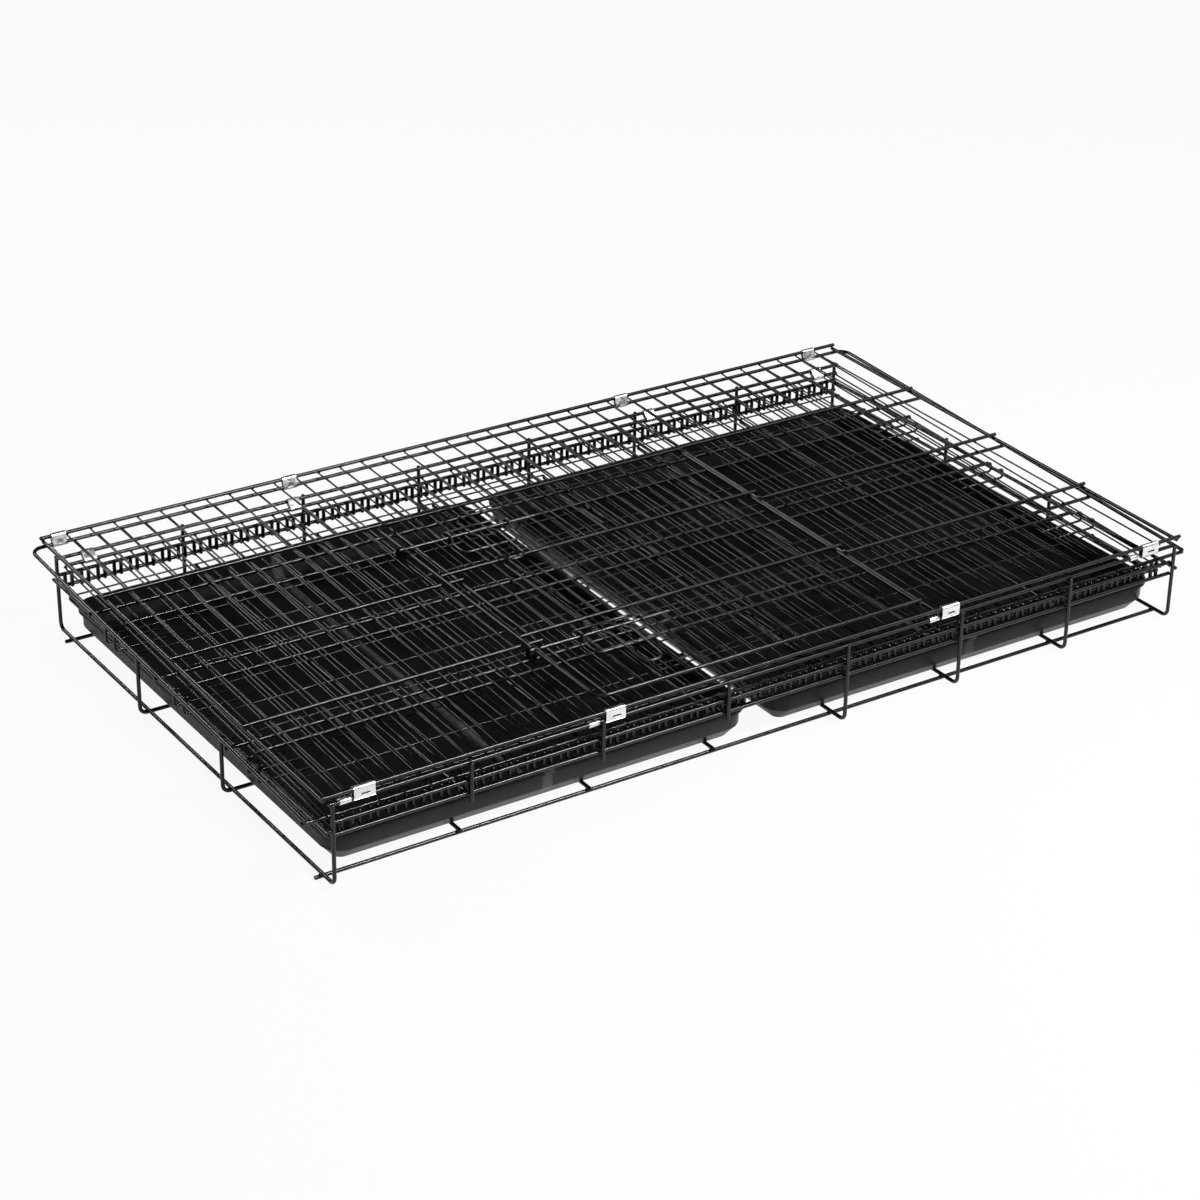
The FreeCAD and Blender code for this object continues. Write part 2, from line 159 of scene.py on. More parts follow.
def makeTrayPlastic(look, name, dusty, ribX):
    mat, tree, shader, coords = newFinish(name)
    along, _, height = addNode(tree, "ShaderNodeSeparateXYZ", {0: coords}).outputs
    grain = noise(tree, coords, look["grain"], detail=3, roughness=0.6)
    cloud = noise(tree, coords, look["cloud"], detail=4)
    streaks = noise(tree, coords, look["streak"], 5, 0.65, look["streakStretch"])
    outside = ramp(tree, facing(tree), look["outward"])
    band = times(tree, ramp(tree, height, metres(look["band"])), outside)
    scuffed = times(tree, band, ramp(tree, streaks, look["scuffFrom"]),
                    ramp(tree, cloud, look["scuffOver"], look["scuffShare"]))
    cells = addNode(tree, "ShaderNodeTexVoronoi",
                    {"Vector": coords, "Scale": look["speckCells"]}).outputs["Distance"]
    patches = noise(tree, coords, look["speckPatch"], detail=3)
    specks = times(tree, ramp(tree, cells, look["speckEdge"]), band,
                   ramp(tree, patches, look["speckFrom"]))
    body = tint(tree, ramp(tree, cloud, look["fadedFrom"]), look["plastic"], look["faded"])
    body = tint(tree, times(tree, scuffed, dusty), body, look["scuff"])
    # painted highlight: the rib's crest is tinted lighter grey, broken up by the streaks and scaled
    # by the tray's dust level, in place of the lamp's highlight on the rib; this worn share is
    # painted light, not wear
    away = calc(tree, "ABSOLUTE", calc(tree, "SUBTRACT", along, ribX * mm))
    paintedCrestHighlight = times(tree, ramp(tree, away, metres(look["paintedHighlightHalf"])),
                  ramp(tree, height, metres(look["paintedHighlightHeight"])))
    worn = ramp(tree, streaks, look["paintedHighlightFrom"], (look["paintedHighlightLeast"] * dusty, dusty))
    body = tint(tree, times(tree, paintedCrestHighlight, worn), body, look["paintedCrestHighlight"])
    tree.links.new(tint(tree, times(tree, specks, dusty), body, look["speck"]),
                   shader.inputs["Base Color"])
    rough = calc(tree, "ADD", ramp(tree, streaks, look["roughFrom"], look["rough"]),
                 ramp(tree, outside, (0.0, 1.0), (look["matt"], 0.0)))
    tree.links.new(rough, shader.inputs["Roughness"])
    shine = [dusty * share for share in look["specular"]]
    tree.links.new(ramp(tree, outside, (0.0, 1.0), shine), shader.inputs["Specular IOR Level"])
    bump(tree, shader, grain, look["grainDepth"])
    return mat


zincLook = dict(bright=(0.94, 0.94, 0.95), dull=(0.78, 0.79, 0.81), spangle=6.0, brushed=0.6,
                brushStretch=(0.06, 1, 1), rough=(0.24, 0.40), depth=0.03)


def makeZinc(look):
    mat, tree, shader, coords = newFinish("brightZincSheet")
    shader.inputs["Metallic"].default_value = 1.0
    lines = noise(tree, coords, look["brushed"], 3, 0.6, look["brushStretch"])
    cells = addNode(tree, "ShaderNodeTexVoronoi",
                    {"Vector": coords, "Scale": 1 / (look["spangle"] * mm)})
    flake = addNode(tree, "ShaderNodeSeparateColor", {0: cells.outputs["Color"]}).outputs[0]
    tree.links.new(tint(tree, times(tree, flake, lines), look["bright"], look["dull"]),
                   shader.inputs["Base Color"])
    tree.links.new(ramp(tree, flake, (0.0, 1.0), look["rough"]), shader.inputs["Roughness"])
    bump(tree, shader, lines, look["depth"])
    return mat


trays = dict(left=dict(body="left_tray", span=(-595.0, -33.1), dusty=1.0),
             right=dict(body="base", span=(-4.1, 595.0), dusty=0.6))
coat = makePowderCoat(coatLook, "blackPowderCoat")
boltLitCopyCoat = makePowderCoat(boltLitCopyLook, "boltPaintedLightPowderCoat")
plastics = {side: makeTrayPlastic(trayLook, side + "TrayPlastic", t["dusty"], sum(t["span"]) / 2)
            for side, t in trays.items()}
zinc = makeZinc(zincLook)
print("finishes ready")


# node trees: one sweeps wires along paths, two drop weld spots or clips on points

wireLook = dict(tipLength=0.7, tipGirth=0.68, stretch=62.0, bendSteps=7, uneven=0.7, wave=7.0,
                sides={2.4: 14, 2.0: 14, 1.8: 12, 1.6: 12, 1.15: 10})
weldLook = dict(segments=8, rings=5, variation=0.3, sink=0.1, onBold=(2.5, 2.5, 1.5),
                alongX=(1.9, 2.1, 1.3), alongY=(2.1, 1.9, 1.3))


def newTree(name, inputs):
    tree = bpy.data.node_groups.new(name, "GeometryNodeTree")
    tree.is_modifier = True
    for label, kind in inputs:
        tree.interface.new_socket(name=label, in_out="INPUT", socket_type="NodeSocket" + kind)
    tree.interface.new_socket(name="Geometry", in_out="OUTPUT", socket_type="NodeSocketGeometry")
    return tree, tree.nodes.new("NodeGroupInput").outputs, tree.nodes.new("NodeGroupOutput")


def closeTree(tree, given, out, geometry):
    real = addNode(tree, "GeometryNodeRealizeInstances", {0: geometry})
    done = addNode(tree, "GeometryNodeSetMaterial",
                   {"Geometry": real.outputs[0], "Material": given["Finish"]})
    tree.links.new(done.outputs[0], out.inputs[0])
    return tree


def attribute(tree, name):
    return addNode(tree, "GeometryNodeInputNamedAttribute", {"Name": name},
                   data_type="FLOAT").outputs[0]


def makeWireTree(look):
    tree, given, out = newTree("sweptWire", [
        ("Paths", "Geometry"), ("Wire radius", "Float"), ("Bend steps", "Int"), ("Sides", "Int"),
        ("Copies", "Int"), ("Copy step", "Vector"), ("Unevenness", "Float"), ("Seed", "Int"),
        ("Finish", "Material")])
    curve = addNode(tree, "GeometryNodeMeshToCurve", {"Mesh": given["Paths"]})
    formed = addNode(tree, "GeometryNodeFilletCurve", {
        "Curve": curve.outputs[0], "Radius": attribute(tree, "bend"), "Limit Radius": True},
        mode="POLY")
    tree.links.new(given["Bend steps"], formed.inputs["Count"])
    row = addNode(tree, "GeometryNodeMeshLine",
                  {"Count": given["Copies"], "Offset": given["Copy step"]}, mode="OFFSET")
    copies = addNode(tree, "GeometryNodeInstanceOnPoints",
                     {"Points": row.outputs[0], "Instance": formed.outputs[0]})
    laid = addNode(tree, "GeometryNodeRealizeInstances", {0: copies.outputs[0]})
    place = addNode(tree, "GeometryNodeInputPosition").outputs[0]
    waves = addNode(tree, "ShaderNodeTexNoise", {
        "Vector": place, "Scale": look["wave"], "Detail": 1.0, "W": given["Seed"]},
        noise_dimensions="4D").outputs["Color"]
    centred = addNode(tree, "ShaderNodeVectorMath", {0: waves, 1: (0.5, 0.5, 0.5)},
                      operation="SUBTRACT").outputs[0]
    sway = times(tree, attribute(tree, "free"), given["Unevenness"])
    drift = addNode(tree, "ShaderNodeVectorMath", {0: centred, "Scale": sway},
                    operation="SCALE").outputs[0]
    bowed = addNode(tree, "GeometryNodeSetPosition",
                    {"Geometry": laid.outputs[0], "Offset": drift})
    ring = addNode(tree, "GeometryNodeCurvePrimitiveCircle",
                   {"Resolution": given["Sides"], "Radius": given["Wire radius"]})
    tube = addNode(tree, "GeometryNodeCurveToMesh", {
        "Curve": bowed.outputs[0], "Profile Curve": ring.outputs[0],
        "Scale": attribute(tree, "girth"), "Fill Caps": True})
    return closeTree(tree, given, out, tube.outputs[0])


def makeWeldTree(look):
    tree, given, out = newTree("weldSpots", [
        ("Points", "Geometry"), ("Spot size", "Vector"), ("Variation", "Float"), ("Seed", "Int"),
        ("Finish", "Material")])
    blob = addNode(tree, "GeometryNodeMeshUVSphere",
                   {"Segments": look["segments"], "Rings": look["rings"], "Radius": 1.0})
    vary = addNode(tree, "FunctionNodeRandomValue", {"Seed": given["Seed"]}, data_type="FLOAT")
    grow = calc(tree, "MULTIPLY_ADD", vary.outputs[1], given["Variation"], 1.0)
    size = addNode(tree, "ShaderNodeVectorMath", {0: given["Spot size"], "Scale": grow},
                   operation="SCALE").outputs[0]
    spots = addNode(tree, "GeometryNodeInstanceOnPoints", {
        "Points": given["Points"], "Instance": blob.outputs[0], "Scale": size})
    return closeTree(tree, given, out, spots.outputs[0])


def makeClipTree():
    tree, given, out = newTree("clipSet", [
        ("Points", "Geometry"), ("Clip", "Object"), ("Finish", "Material")])
    clip = addNode(tree, "GeometryNodeObjectInfo", {"Object": given["Clip"], "As Instance": True})
    spots = addNode(tree, "GeometryNodeInstanceOnPoints", {
        "Points": given["Points"], "Instance": clip.outputs["Geometry"]})
    return closeTree(tree, given, out, spots.outputs[0])


wireTree, weldTree, clipTree = makeWireTree(wireLook), makeWeldTree(weldLook), makeClipTree()


def smooth(mesh, sharp):
    mesh.shade_smooth()
    mesh.set_sharp_from_angle(angle=math.radians(sharp))


def plainMesh(obj, name, sharp=38.0):
    bpy.context.view_layer.update()
    depsgraph = bpy.context.evaluated_depsgraph_get()
    mesh = bpy.data.meshes.new_from_object(obj.evaluated_get(depsgraph))
    mesh.name = name
    obj.modifiers.clear()
    obj.data = mesh
    smooth(mesh, sharp)
    return obj


def addObject(name, mesh):
    obj = bpy.data.objects.new(name, mesh)
    scene.collection.objects.link(obj)
    return obj


def meshObject(name, bm, finish=None):
    mesh = bpy.data.meshes.new(name)
    bm.to_mesh(mesh)
    if finish:
        mesh.materials.append(finish)
    return addObject(name, mesh)


def grown(name, mesh, tree, values):
    obj = addObject(name, mesh)
    mod = obj.modifiers.new("grow", "NODES")
    mod.node_group = tree
    for item in tree.interface.items_tree:
        if item.in_out == "INPUT" and item.name in values:
            mod[item.identifier] = values[item.name]
    return plainMesh(obj, name)


def settle(obj, body, nodes=()):
    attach(obj, body)
    if nodes:
        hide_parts(*nodes)
    print(" ", obj.name, len(obj.data.polygons), "faces on", body)


def pathMesh(name, paths, bends):
    look, mesh = wireLook, bpy.data.meshes.new(name)
    verts, edges, girth, free, bend = [], [], [], [], []
    for path in paths:
        start, end = ((b - a).normalized() * look["tipLength"] for a, b in (path[:2], path[-2:]))
        points = [path[0], path[0] + start, *path[1:-1], path[-1] - end, path[-1]]
        straight = len(path) == 2
        if straight:          # room for a slight bow between the ends
            parts = max(2, int((path[1] - path[0]).length / look["stretch"]))
            points[2:2] = [points[1].lerp(points[2], i / parts) for i in range(1, parts)]
        first, last = len(verts), len(points) - 1
        verts += [p * mm for p in points]
        edges += [(first + i, first + i + 1) for i in range(last)]
        girth += [look["tipGirth"] if i in (0, last) else 1.0 for i in range(last + 1)]
        loose = range(2, last - 1) if straight else ()
        free += [math.sin(math.pi * i / last) if i in loose else 0.0 for i in range(last + 1)]
        corners = bends if len(bends) > 1 else bends * (len(path) - 2)
        inner = [] if straight else metres(corners)
        bend += [0.0, 0.0, *inner, 0.0, 0.0] if inner else [0.0] * (last + 1)
    mesh.from_pydata(verts, edges, [])
    for label, values in (("girth", girth), ("free", free), ("bend", bend)):
        mesh.attributes.new(label, "FLOAT", "POINT").data.foreach_set("value", values)
    return mesh


def wires(name, body, nodes, paths, r, *bends, copies=1, step=(0, 0, 0), seed=1, bow=1.0,
          finish=coat):
    tubes = grown(name, pathMesh(name + "Paths", paths, bends), wireTree, {
        "Wire radius": r * mm, "Bend steps": wireLook["bendSteps"], "Sides": wireLook["sides"][r],
        "Copies": copies, "Copy step": Vector(step) * mm,
        "Unevenness": wireLook["uneven"] * bow * mm, "Seed": seed, "Finish": finish})
    settle(tubes, body, nodes)


def welds(name, body, points, size, seed=3):
    mesh = bpy.data.meshes.new(name + "Points")
    mesh.from_pydata([p * mm for p in points], [], [])
    spots = grown(name, mesh, weldTree, {
        "Spot size": Vector(weldLook[size]) * mm, "Variation": weldLook["variation"],
        "Seed": seed, "Finish": coat})
    settle(spots, body)


def spread(first, last, spaces):
    return [first + (last - first) * i / spaces for i in range(spaces + 1)]


def vectors(*points):
    return [Vector(point) for point in points]


def turnedPlane(y0, z0, degrees):     # points given flat, turned about the line at y0, z0
    c, s = math.cos(math.radians(degrees)), math.sin(math.radians(degrees))
    return lambda x, y, z: Vector((x, y0 + (y - y0) * c - (z - z0) * s,
                                   z0 + (y - y0) * s + (z - z0) * c))


# base
base = dict(
    r=2.4, halfLength=600.0, stationSpaces=7, overhang=6.0, railY=321.0, railZ=2.4, crossZ=6.95,
    postY=351.0, postTop=106.0, topRailY=346.45, topRailZ=104.0, endRailX=604.55, endRailZ=74.0,
    endPostX=609.1, endPostTop=78.0, longY=107.055, shortPosts=(1, 2, 3), stubY=329.0,
    shortFrom=56.0, bend=9.0, cornerWeldIn=1.0)


def makeBase(b):
    r, sides = b["r"], (-1, 1)
    stations = spread(-b["halfLength"], b["halfLength"], b["stationSpaces"])
    topReach, endReach = b["halfLength"] + r, b["postY"] + r
    lowReach = topReach + b["overhang"]
    wires("bottomRails", "base", ["bottom_rails"],
          [[Vector((s * lowReach, -b["railY"], b["railZ"])) for s in sides]], r, copies=2,
          step=(0, 2 * b["railY"], 0), bow=0)
    wires("topRails", "base", ["top_rails"],
          [[Vector((s * topReach, -b["topRailY"], b["topRailZ"])) for s in sides]], r, copies=2,
          step=(0, 2 * b["topRailY"], 0))
    wires("endRails", "base", ["end_rails"],
          [[Vector((-b["endRailX"], s * endReach, b["endRailZ"])) for s in sides]], r, copies=2,
          step=(2 * b["endRailX"], 0, 0))
    ends, longY = b["endPostX"], b["longY"]
    wires("floorLongWires", "base", ["floor_long_wires", "end_posts"],
          [vectors((-ends, -longY, b["endPostTop"]), (-ends, -longY, b["railZ"]),
                   (ends, -longY, b["railZ"]), (ends, -longY, b["endPostTop"]))],
          r, b["bend"], copies=2, step=(0, 2 * longY, 0))
    paths = []
    for i, x in enumerate(stations):
        rear = vectors((x, b["postY"], b["crossZ"]), (x, b["postY"], b["postTop"]))
        front = vectors((x, -b["postY"], b["postTop"]), (x, -b["postY"], b["crossZ"]))
        if i in b["shortPosts"]:
            front = vectors((x, -b["stubY"], b["crossZ"]))
        paths.append(front + rear)
    wires("floorCrossWires", "base", ["floor_cross_wires", "front_posts", "rear_posts"], paths,
          r, b["bend"])
    posts = [[Vector((stations[i], -b["postY"], z)) for z in (b["shortFrom"], b["postTop"])]
             for i in b["shortPosts"]]
    wires("shortFrontPosts", "base", ["short_front_posts"], posts, r)
    low, side = b["crossZ"] - r + weldLook["sink"], b["postY"] - r + weldLook["sink"]
    across = (-b["railY"], -longY, longY, b["railY"])
    points = [Vector((x, y, low)) for x in stations for y in across]
    points += [Vector((x, s * side, b["topRailZ"])) for x in stations for s in sides]
    points += [Vector((s * (ends - r), y, b["endRailZ"])) for s in sides for y in (-longY, longY)]
    points += [Vector((s * (b["endRailX"] - r), y * (b["postY"] - b["cornerWeldIn"]),
                       b["endRailZ"])) for s in sides for y in sides]
    welds("baseWelds", "base", points, "onBold")


makeBase(base)


# front side panel, its door and bolts
lid = dict(r=2.4, thin=1.15, half=608.0, spaces=38, rows=4, y0=-346.45, depth=716.0, z=114.5,
           tilt=0.8, overhang=4.0, jambs=(12, 26), boldDrop=4.55, thinDrop=3.55)
lidAt = turnedPlane(lid["y0"], lid["z"], lid["tilt"])
lidXs = spread(-lid["half"], lid["half"], lid["spaces"])
lidYs = spread(lid["y0"], lid["y0"] + lid["depth"], lid["rows"])
lidHinge, *lidMids, lidHead, lidFar = lidYs


def makeLid(p):
    r, thin, z, reach = p["r"], p["thin"], p["z"], p["half"] + p["overhang"]
    leftJamb, rightJamb = p["jambs"]
    left, right, pitch = lidXs[leftJamb], lidXs[rightJamb], lidXs[1] - lidXs[0]
    alongX = lambda x0, x1, y: [lidAt(x0, y, z), lidAt(x1, y, z)]
    alongY = lambda x, y0, y1, drop: [lidAt(x, y0, z - drop), lidAt(x, y1, z - drop)]
    wires("frontPanelEdges", "lid", ["front_panel_edge_wires"],
          [alongX(-reach, reach, y) for y in (lidHinge, lidFar)], r, bow=0)
    rows = [alongX(-reach, reach, lidHead)]
    for y in lidMids:
        rows += [alongX(-reach, left + r, y), alongX(right - r, reach, y)]
    wires("frontPanelLongWires", "lid", ["front_panel_long_wires"], rows, r)
    wires("frontPanelEnds", "lid", ["front_panel_end_wires"],
          [alongY(-p["half"], lidHinge, lidFar, p["boldDrop"])], r, copies=2,
          step=(2 * p["half"], 0, 0))
    wires("doorJambs", "lid", ["door_jambs"],
          [alongY(left, lidHinge, lidHead + p["overhang"], p["boldDrop"])], r, copies=2,
          step=(right - left, 0, 0))
    for name, first, end, seed in (("left", 1, leftJamb, 4),
                                   ("right", rightJamb + 1, p["spaces"], 5)):
        wires(name + "PanelCrossWires", "lid", ["front_panel_cross_wires_" + name],
              [alongY(lidXs[first], lidHinge, lidFar, p["thinDrop"])], thin,
              copies=end - first, step=(pitch, 0, 0), seed=seed)
    over = lidXs[leftJamb:rightJamb + 1]
    short = r + 2 * p["overhang"]         # clear of the jambs' tips
    starts = [lidHead + (short if x in (left, right) else 0) for x in over]
    wires("overDoorCrossWires", "lid", ["front_panel_cross_wires_over_door"],
          [alongY(x, y, lidFar, p["thinDrop"]) for x, y in zip(over, starts)], thin)
    spots = [lidAt(x, y, z - r + weldLook["sink"]) for y in lidYs for x in lidXs
             if y not in lidMids or not left < x < right]
    welds("lidWelds", "lid", spots, "alongX")


makeLid(lid)

door = dict(z=119.6, outer=-248.0, inner=215.0, low=24.0, high=-11.0, corner=18.0, rowShift=12.0,
            seat=0.25, curlEnd=3.2, curlBend=3.4, eyeLength=12.0, eyeR=4.25, eyeGap=0.05,
            eyeEdge=0.4, eyeSides=24, eyeSharp=40.0)


def joinRings(bm, a, b):
    for i in range(len(a)):
        n = (i + 1) % len(a)
        bm.faces.new((a[i], a[n], b[n], b[i]))


def makeEyes(d, hinge, rows, height):     # rolled eyes round the door's hinge wire
    bm, bore = bmesh.new(), lid["r"] + d["eyeGap"]
    half, outer, edge = d["eyeLength"] / 2, d["eyeR"], d["eyeEdge"]
    section = [(-half, bore), (-half, outer - edge), (edge - half, outer),
               (half - edge, outer), (half, outer - edge), (half, bore)]
    turns = [math.tau * k / d["eyeSides"] for k in range(d["eyeSides"])]
    for y in rows:
        rings = [[bm.verts.new(lidAt(hinge + rad * math.cos(t), y + along,
                                     height + rad * math.sin(t)) * mm)
                  for along, rad in section] for t in turns]
        for a, b in zip(rings, rings[1:] + rings[:1]):
            joinRings(bm, a, b)
    bmesh.ops.recalc_face_normals(bm, faces=bm.faces)
    eyes = meshObject("doorHingeEyes", bm, coat)
    smooth(eyes.data, d["eyeSharp"])
    settle(eyes, "side_door")


def makeDoor(d):
    r, z = lid["r"], d["z"]
    low, high = lidHinge + d["low"], lidHead + d["high"]
    hinge, eyeZ = lidXs[lid["jambs"][1]], lid["z"] - lid["boldDrop"]
    corners = ((d["inner"], high), (d["outer"], high), (d["outer"], low), (d["inner"], low))
    stile = [lidAt(d["inner"] - r, y, z - lid["boldDrop"])
             for y in (low - lid["overhang"], high + lid["overhang"])]
    wires("sideDoorFrame", "side_door", ["side_door_frame"],
          [[lidAt(*at, z) for at in corners], stile], r, d["corner"])
    xs = lidXs[lid["jambs"][0] + 1:lid["jambs"][1]]
    wires("sideDoorCrossWires", "side_door", ["side_door_cross_wires"],
          [[lidAt(xs[0], y, z - lid["thinDrop"]) for y in (low, high)]], lid["thin"],
          copies=len(xs), step=(xs[1] - xs[0], 0, 0), seed=9)
    rows = [y + d["rowShift"] for y in lidMids]
    wires("sideDoorLongWires", "side_door", ["side_door_long_wires"],
          [[lidAt(d["outer"] + r - d["seat"], y, z), lidAt(hinge, y, z),
            lidAt(hinge, y, eyeZ + d["curlEnd"])] for y in rows], r, d["curlBend"])
    makeEyes(d, hinge, rows, eyeZ)
    spots = [lidAt(x, y, z - r + weldLook["sink"]) for x in xs for y in (low, *rows, high)]
    spots += [lidAt(d["inner"] - r, y, z - r) for y in (low, *rows, high)]
    welds("doorWelds", "side_door", spots, "alongX", seed=5)


makeDoor(door)


# top panel, rear panel and end panels
roof = dict(r=2.4, thin=1.15, half=627.0, backY=365.55, backZ=114.697, frontY=-336.0, frontZ=88.0,
            corner=16.0, shift=8.0, overhang=4.0, rows=4, boldDrop=4.55, thinDrop=1.0, thinIn=2.15)


def leaningPlane(y0, z0, frontY, frontZ):
    return turnedPlane(y0, z0, math.degrees(math.asin((z0 - frontZ) / (y0 - frontY))))


def makeRoof(p):
    r, z, back, half = p["r"], p["backZ"], p["backY"], p["half"]
    at = leaningPlane(back, z, p["frontY"], p["frontZ"])
    lip, reach = p["frontY"] - p["overhang"], half + p["overhang"]
    rim = ((-half, lip), (-half, back), (half, back), (half, lip))
    wires("topPanelRim", "lid", ["top_panel_side_wires", "top_panel_hinge_wire"],
          [[at(*corner, z) for corner in rim]], r, p["corner"])
    ys = spread(p["frontY"], back, p["rows"])[:-1]
    wires("topPanelLongWires", "lid", ["top_panel_long_wires"],
          [[at(s * reach, y, z - p["boldDrop"]) for s in (-1, 1)] for y in ys], r, seed=4)
    xs = [x + p["shift"] for x in lidXs[:-1]]
    wires("topPanelCrossWires", "lid", ["top_panel_cross_wires"],
          [[at(xs[0], y, z - p["thinDrop"]) for y in (p["frontY"], back - p["thinIn"])]],
          p["thin"], copies=len(xs), step=(xs[1] - xs[0], 0, 0), seed=12)
    spots = [at(x, y, z - r + weldLook["sink"]) for x in xs for y in ys]
    welds("topPanelWelds", "lid", spots, "alongX", seed=6)


makeRoof(roof)

rear = dict(r=2.4, thin=1.15, half=594.0, hingeY=338.0, hingeZ=96.5, frontY=-336.0, frontZ=74.0,
            spaces=54, rows=4, thinDrop=3.55)


def makeRear(p):
    r, z, hinge, half = p["r"], p["hingeZ"], p["hingeY"], p["half"]
    at = leaningPlane(hinge, z, p["frontY"], p["frontZ"])
    ys, xs = spread(p["frontY"], hinge, p["rows"]), spread(-half, half, p["spaces"])
    wires("rearPanelLongWires", "base", ["rear_panel_long_wires"],
          [[at(-half, y, z), at(half, y, z)] for y in ys], r, seed=5)
    wires("rearPanelCrossWires", "base", ["rear_panel_cross_wires"],
          [[at(xs[0], y, z - p["thinDrop"]) for y in (p["frontY"], hinge)]], p["thin"],
          copies=len(xs), step=(xs[1] - xs[0], 0, 0), seed=14)
    spots = [at(x, y, z - r + weldLook["sink"]) for x in xs for y in ys]
    welds("rearPanelWelds", "base", spots, "alongX", seed=7)


makeRear(rear)

ends = dict(r=2.4, thin=1.15, halfWidth=330.0, edge=594.0, height=690.0, spaces=11, barSpaces=4,
            bars={"left": 54.2, "right": 61.95}, rise=3.55)
hooks = dict(r=1.6, pairs=(-182.52, 0.0, 182.52), step=24.0, tail=540.0, x=608.6, top=78.05,
             tip=600.6, bend=4.0, lift=3.75)


def makeEnds(p, h):
    ys = spread(-p["halfWidth"], p["halfWidth"], p["spaces"])
    for side, (name, z) in zip((-1, 1), p["bars"].items()):
        xs = spread(side * p["edge"], side * (p["edge"] - p["height"]), p["barSpaces"])
        wires(name + "EndBars", "base", [name + "_end_panel_bars"],
              [[Vector((xs[0], y, z)) for y in (ys[0], ys[-1])]], p["r"], copies=len(xs),
              step=(xs[1] - xs[0], 0, 0))
        wires(name + "EndWires", "base", [name + "_end_panel_wires"],
              [[Vector((x, ys[0], z + p["rise"])) for x in (xs[0], xs[-1])]], p["thin"],
              copies=len(ys), step=(0, ys[1] - ys[0], 0), seed=8)
        spots = [Vector((x, y, z + p["r"] - weldLook["sink"])) for x in xs for y in ys]
        welds(name + "EndWelds", "base", spots, "alongY")
        low = z + h["lift"]
        bends = ((h["tail"], low), (h["x"], low), (h["x"], h["top"]), (h["tip"], h["top"]))
        paths = [[Vector((side * x, pair + s * h["step"] / 2, height)) for x, height in bends]
                 for pair in h["pairs"] for s in (-1, 1)]
        wires(name + "EndHooks", "base", [name + "_end_hooks"], paths, h["r"], h["bend"])


makeEnds(ends, hooks)

guard = dict(r=2.4, y=346.45, low=66.0, high=81.5, half=594.0, reach=600.0, spaces=54, pair=9.0,
             barIn=4.7, foot=64.5, tip=85.5)


def makeGuards(g):            # ladders above the trays, along the front and the rear
    rows = [vectors((-g["reach"], -g["y"], z), (g["reach"], -g["y"], z))
            for z in (g["low"], g["high"])]
    wires("trayGuardRails", "base", [], rows, g["r"], copies=2, step=(0, 2 * g["y"], 0), bow=0)
    pitch = 2 * g["half"] / g["spaces"]
    bars = [[Vector((x - g["half"], side * (g["y"] - g["barIn"]), z))
             for z in (g["foot"], g["tip"])] for side in (-1, 1) for x in (0, g["pair"])]
    wires("trayGuardBars", "base", [], bars, g["r"], copies=g["spaces"], step=(pitch, 0, 0), bow=0)


makeGuards(guard)
print("wire panels done")


# slide bolts
bolt = dict(
    r=2.0, rows={"lower": 148.212, "upper": 446.068}, z=124.25, start=-245.0, length=180.0,
    handleR=1.8, handleFrom=84.0, handleWidth=28.0, handleLength=92.0, handleRise=6.0,
    handleRamp=26.0, tipRise=1.5, handleBend=12.0,
    guardR=1.6, guardX=(-188.0, -104.0), guardY=(-36.0, 24.0), guardZ=118.8, guardBend=8.0,
    guardSeam=0.05, archZ=128.0, archHalf=4.2, archFoot=8.5, archBend=2.4,
    keeperX=-256.0, strapWidth=10.0, strapSheet=1.8, strapGap=0.75, strapFoot=2.2, strapSteps=12)
sheetLook = dict(edge=0.25, edgeSteps=2, sharp=50)


def strapBand(bm, x, width, path, sheet):   # a strip that follows the path in the panel's y and z
    rings = []
    for i, (y, z) in enumerate(path):
        a, b = path[max(i - 1, 0)], path[min(i + 1, len(path) - 1)]
        way = Vector((b[0] - a[0], b[1] - a[1])).normalized()
        rings.append([bm.verts.new(lidAt(x + side * width / 2, y - off * way.y * sheet / 2,
                                         z + off * way.x * sheet / 2) * mm)
                      for side, off in ((-1, -1), (1, -1), (1, 1), (-1, 1))])
    for a, b in zip(rings, rings[1:]):
        joinRings(bm, a, b)
    bm.faces.new(rings[0])
    bm.faces.new(rings[-1])


def saddle(y, z, foot, radius, steps):        # path over a rod and down to its wire
    arch = [(y + radius * math.cos(t), z + radius * math.sin(t))
            for t in (math.pi * k / steps for k in range(steps + 1))]
    return [(y + radius, foot), *arch, (y - radius, foot)]


def softEdge(obj, width, steps, degrees):
    soft = obj.modifiers.new("soft edge", "BEVEL")
    soft.width, soft.segments = width * mm, steps
    soft.limit_method, soft.angle_limit = "ANGLE", math.radians(degrees)


def sheetPiece(name, bm, finish, body, nodes):
    bmesh.ops.recalc_face_normals(bm, faces=bm.faces)
    obj = meshObject(name, bm, finish)
    softEdge(obj, sheetLook["edge"], sheetLook["edgeSteps"], sheetLook["sharp"])
    settle(plainMesh(obj, name, sheetLook["sharp"]), body, nodes)


def guardLoop(b, y):          # a bent wire that arches over the rod twice
    near, far = (y + reach for reach in b["guardY"])
    (g0, g1), z, foot, half = b["guardX"], b["guardZ"], b["archFoot"], b["archHalf"]
    arch = [(y + foot, z), (y + half, b["archZ"]), (y - half, b["archZ"]), (y - foot, z)]
    middle, seam = (g0 + g1) / 2, b["guardSeam"]
    loop = [(middle + seam, far, z), (g1, far, z), *((g1, *at) for at in arch), (g1, near, z),
            (g0, near, z), *((g0, *at) for at in reversed(arch)), (g0, far, z),
            (middle - seam, far, z)]
    return [lidAt(*at) for at in loop]


